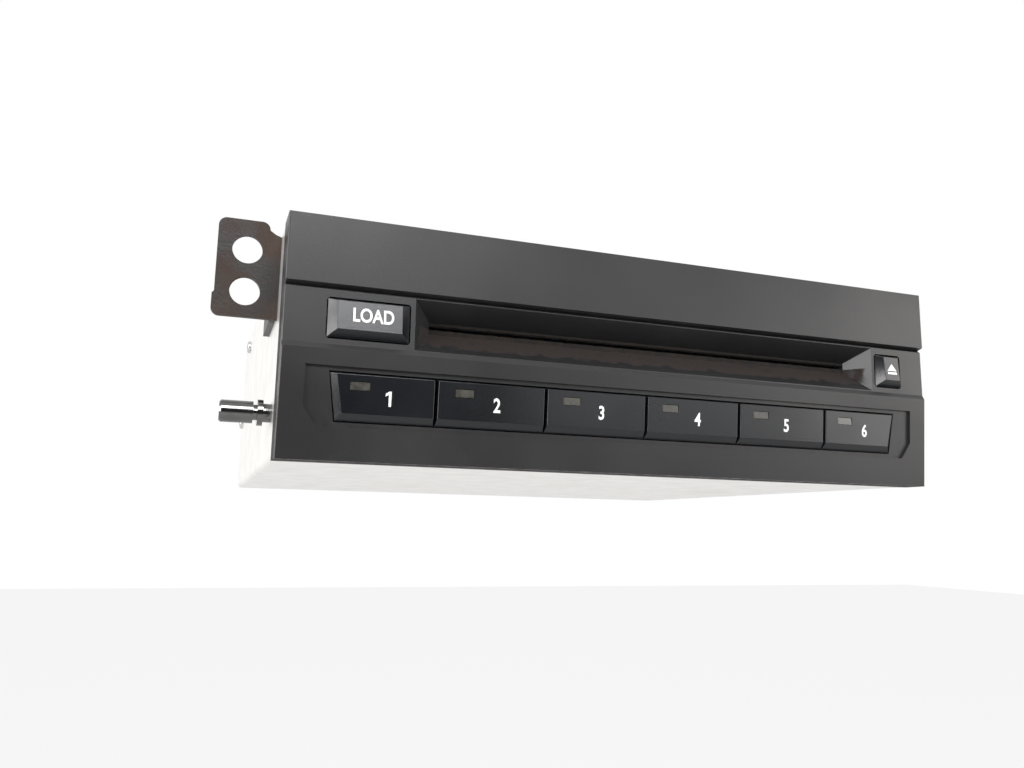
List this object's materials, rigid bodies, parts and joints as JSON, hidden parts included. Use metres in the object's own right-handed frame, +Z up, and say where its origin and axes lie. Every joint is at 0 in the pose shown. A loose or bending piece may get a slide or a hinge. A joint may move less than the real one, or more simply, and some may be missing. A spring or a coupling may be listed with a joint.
{
  "type": "car cd changer",
  "caption": "In-dash car disc changer: sheet-steel case with side ears and pins, moulded front with slot, load, eject and numbered keys; disc trays, loading roller and swing-in playback deck inside.",
  "frame": {"origin": "centre of the whole outline in plan, on the flat bottom of the case", "axes": "+X to the right of someone facing the front, +Y into the dash (the front looks along -Y), +Z up"},
  "size_m": [0.2196, 0.1777, 0.0605],
  "materials": {
    "bezel_plastic": "satin textured moulding",
    "key_plastic": "satin moulding",
    "window_lens": "smoked light pipe",
    "felt": "felt",
    "case_steel": "zinc-plated sheet",
    "ear_steel": "dark phosphated steel",
    "pin_chrome": "polished",
    "circuit_board": "solder resist",
    "component_black": "moulded epoxy",
    "connector_nylon": "natural nylon",
    "flex_film": "polyimide film",
    "turned_steel": "bright turned steel",
    "motor_steel": "drawn motor can",
    "gear_nylon": "acetal",
    "pinion_brass": "cut brass",
    "damper_rubber": "moulded rubber",
    "deck_plastic": "glass-filled moulding",
    "led_body": "clear epoxy"
  },
  "bodies": {
    "chassis": {"bezel": "bezel_plastic", "felt_lips": "felt", "light_guides": "window_lens", "status_leds": "led_body", "switch_board": "circuit_board", "tact_switches": "component_black", "chassis_tray": "case_steel", "top_cover": "case_steel", "front_plate": "case_steel", "rear_panel": "case_steel", "ear_left": "ear_steel", "ear_right": "ear_steel", "pin_left": "pin_chrome", "pin_right": "pin_chrome", "board_posts": "turned_steel", "main_board": "circuit_board", "board_components": "component_black", "power_connector": "connector_nylon", "connector_pins": "turned_steel", "optical_connector": "component_black", "front_flex": "flex_film", "case_screws": "turned_steel", "base_plate": "case_steel", "base_dampers": "damper_rubber", "roller_bracket": "case_steel", "drive_motors": "motor_steel", "disc_guide": "key_plastic", "lift_belt": "damper_rubber", "pivot_post": "turned_steel"},
    "load_button": {"load_button": "key_plastic"},
    "eject_button": {"eject_button": "key_plastic"},
    "preset_button_1": {"preset_button_1": "key_plastic"},
    "preset_button_2": {"preset_button_2": "key_plastic"},
    "preset_button_3": {"preset_button_3": "key_plastic"},
    "preset_button_4": {"preset_button_4": "key_plastic"},
    "preset_button_5": {"preset_button_5": "key_plastic"},
    "preset_button_6": {"preset_button_6": "key_plastic"},
    "load_roller": {"roller_shaft": "turned_steel", "roller_sleeves": "damper_rubber", "roller_gear": "gear_nylon"},
    "idler": {"idler_gear": "gear_nylon"},
    "motor_pinion": {"load_pinion": "pinion_brass"},
    "lift_screw_a": {"lift_screw_a": "gear_nylon"},
    "lift_screw_b": {"lift_screw_b": "gear_nylon"},
    "lift_screw_c": {"lift_screw_c": "gear_nylon"},
    "motor_pulley": {"motor_pulley": "gear_nylon"},
    "disc_tray_1": {"disc_tray_1": "deck_plastic"},
    "disc_tray_2": {"disc_tray_2": "deck_plastic"},
    "disc_tray_3": {"disc_tray_3": "deck_plastic"},
    "disc_tray_4": {"disc_tray_4": "deck_plastic"},
    "disc_tray_5": {"disc_tray_5": "deck_plastic"},
    "disc_tray_6": {"disc_tray_6": "deck_plastic"},
    "deck": {"deck_frame": "deck_plastic", "guide_rods": "turned_steel", "deck_motors": "motor_steel"},
    "turntable": {"turntable": "gear_nylon"},
    "pickup_sled": {"pickup_sled": "component_black"},
    "feed_screw": {"feed_screw": "turned_steel"},
    "clamp_arm": {"clamp_arm": "case_steel"},
    "swing_pinion": {"swing_pinion": "pinion_brass"}
  },
  "joints": [
    {"name": "load_press", "type": "slide", "parent": "chassis", "child": "load_button", "axis": [0, 1, 0], "range_m": [0, 0.0008], "stiffness_N_per_m": 400, "springref_m": -0.0008},
    {"name": "eject_press", "type": "slide", "parent": "chassis", "child": "eject_button", "axis": [0, 1, 0], "range_m": [0, 0.0008], "stiffness_N_per_m": 400, "springref_m": -0.0008},
    {"name": "preset_press_1", "type": "slide", "parent": "chassis", "child": "preset_button_1", "axis": [0, 1, 0], "range_m": [0, 0.0008], "stiffness_N_per_m": 400, "springref_m": -0.0008},
    {"name": "preset_press_2", "type": "slide", "parent": "chassis", "child": "preset_button_2", "axis": [0, 1, 0], "range_m": [0, 0.0008], "stiffness_N_per_m": 400, "springref_m": -0.0008},
    {"name": "preset_press_3", "type": "slide", "parent": "chassis", "child": "preset_button_3", "axis": [0, 1, 0], "range_m": [0, 0.0008], "stiffness_N_per_m": 400, "springref_m": -0.0008},
    {"name": "preset_press_4", "type": "slide", "parent": "chassis", "child": "preset_button_4", "axis": [0, 1, 0], "range_m": [0, 0.0008], "stiffness_N_per_m": 400, "springref_m": -0.0008},
    {"name": "preset_press_5", "type": "slide", "parent": "chassis", "child": "preset_button_5", "axis": [0, 1, 0], "range_m": [0, 0.0008], "stiffness_N_per_m": 400, "springref_m": -0.0008},
    {"name": "preset_press_6", "type": "slide", "parent": "chassis", "child": "preset_button_6", "axis": [0, 1, 0], "range_m": [0, 0.0008], "stiffness_N_per_m": 400, "springref_m": -0.0008},
    {"name": "roller_turn", "type": "hinge", "parent": "chassis", "child": "load_roller", "pos_m": [0, -0.06915, 0.02945], "axis": [1, 0, 0], "continuous": true},
    {"name": "idler_turn", "type": "hinge", "parent": "chassis", "child": "idler", "pos_m": [0, -0.06263, 0.01815], "axis": [1, 0, 0], "continuous": true},
    {"name": "pinion_turn", "type": "hinge", "parent": "chassis", "child": "motor_pinion", "pos_m": [0, -0.05307, 0.01815], "axis": [1, 0, 0], "continuous": true},
    {"name": "lift_turn_a", "type": "hinge", "parent": "chassis", "child": "lift_screw_a", "pos_m": [0.076, -0.02565, 0], "axis": [0, 0, 1], "range_deg": [-720, 0]},
    {"name": "lift_turn_b", "type": "hinge", "parent": "chassis", "child": "lift_screw_b", "pos_m": [0.068, 0.04535, 0], "axis": [0, 0, 1], "range_deg": [-720, 0]},
    {"name": "lift_turn_c", "type": "hinge", "parent": "chassis", "child": "lift_screw_c", "pos_m": [-0.006, 0.06735, 0], "axis": [0, 0, 1], "range_deg": [-720, 0]},
    {"name": "lift_motor_turn", "type": "hinge", "parent": "chassis", "child": "motor_pulley", "pos_m": [0.082, 0.01035, 0], "axis": [0, 0, 1], "range_deg": [-720, 0]},
    {"name": "tray_lift_1", "type": "slide", "parent": "chassis", "child": "disc_tray_1", "axis": [0, 0, 1], "range_m": [0, 0.01099]},
    {"name": "tray_lift_2", "type": "slide", "parent": "chassis", "child": "disc_tray_2", "axis": [0, 0, 1], "range_m": [0, 0.01099]},
    {"name": "tray_lift_3", "type": "slide", "parent": "chassis", "child": "disc_tray_3", "axis": [0, 0, 1], "range_m": [0, 0.01099]},
    {"name": "tray_lift_4", "type": "slide", "parent": "chassis", "child": "disc_tray_4", "axis": [0, 0, 1], "range_m": [-0.00785, 0]},
    {"name": "tray_lift_5", "type": "slide", "parent": "chassis", "child": "disc_tray_5", "axis": [0, 0, 1], "range_m": [-0.00785, 0]},
    {"name": "tray_lift_6", "type": "slide", "parent": "chassis", "child": "disc_tray_6", "axis": [0, 0, 1], "range_m": [-0.00785, 0]},
    {"name": "deck_swing", "type": "hinge", "parent": "chassis", "child": "deck", "pos_m": [-0.078, 0.06435, 0], "axis": [0, 0, 1], "range_deg": [0, 53.63]},
    {"name": "swing_pinion_turn", "type": "hinge", "parent": "chassis", "child": "swing_pinion", "pos_m": [-0.06195, 0.06435, 0], "axis": [0, 0, 1], "range_deg": [-232.9, 0]},
    {"name": "turntable_spin", "type": "hinge", "parent": "deck", "child": "turntable", "pos_m": [-0.078, -0.04021, 0], "axis": [0, 0, 1], "continuous": true},
    {"name": "sled_slide", "type": "slide", "parent": "deck", "child": "pickup_sled", "axis": [0, 1, 0], "range_m": [0, 0.034]},
    {"name": "feed_screw_turn", "type": "hinge", "parent": "deck", "child": "feed_screw", "pos_m": [-0.0668, 0, 0.032], "axis": [0, 1, 0], "range_deg": [0, 4081]},
    {"name": "clamp_lift", "type": "hinge", "parent": "deck", "child": "clamp_arm", "pos_m": [-0.078, 0.05035, 0.0372], "axis": [-1, 0, 0], "range_deg": [0, 2]}
  ],
  "couplings": [
    {"joint": "idler_turn", "follows": "roller_turn", "ratio": -0.85714},
    {"joint": "pinion_turn", "follows": "roller_turn", "ratio": 2.4},
    {"joint": "lift_turn_a", "follows": "tray_lift_1", "rad_per_m": -1142.9},
    {"joint": "lift_turn_b", "follows": "tray_lift_1", "rad_per_m": -1142.9},
    {"joint": "lift_turn_c", "follows": "tray_lift_1", "rad_per_m": -1142.9},
    {"joint": "lift_motor_turn", "follows": "tray_lift_1", "rad_per_m": -1142.9},
    {"joint": "tray_lift_2", "follows": "tray_lift_1", "ratio": 1},
    {"joint": "tray_lift_3", "follows": "tray_lift_1", "ratio": 1},
    {"joint": "tray_lift_4", "follows": "tray_lift_1", "ratio": -0.70971},
    {"joint": "tray_lift_5", "follows": "tray_lift_1", "ratio": -0.70971},
    {"joint": "tray_lift_6", "follows": "tray_lift_1", "ratio": -0.70971},
    {"joint": "swing_pinion_turn", "follows": "deck_swing", "ratio": -4.3333},
    {"joint": "feed_screw_turn", "follows": "sled_slide", "rad_per_m": 2094.4}
  ]
}
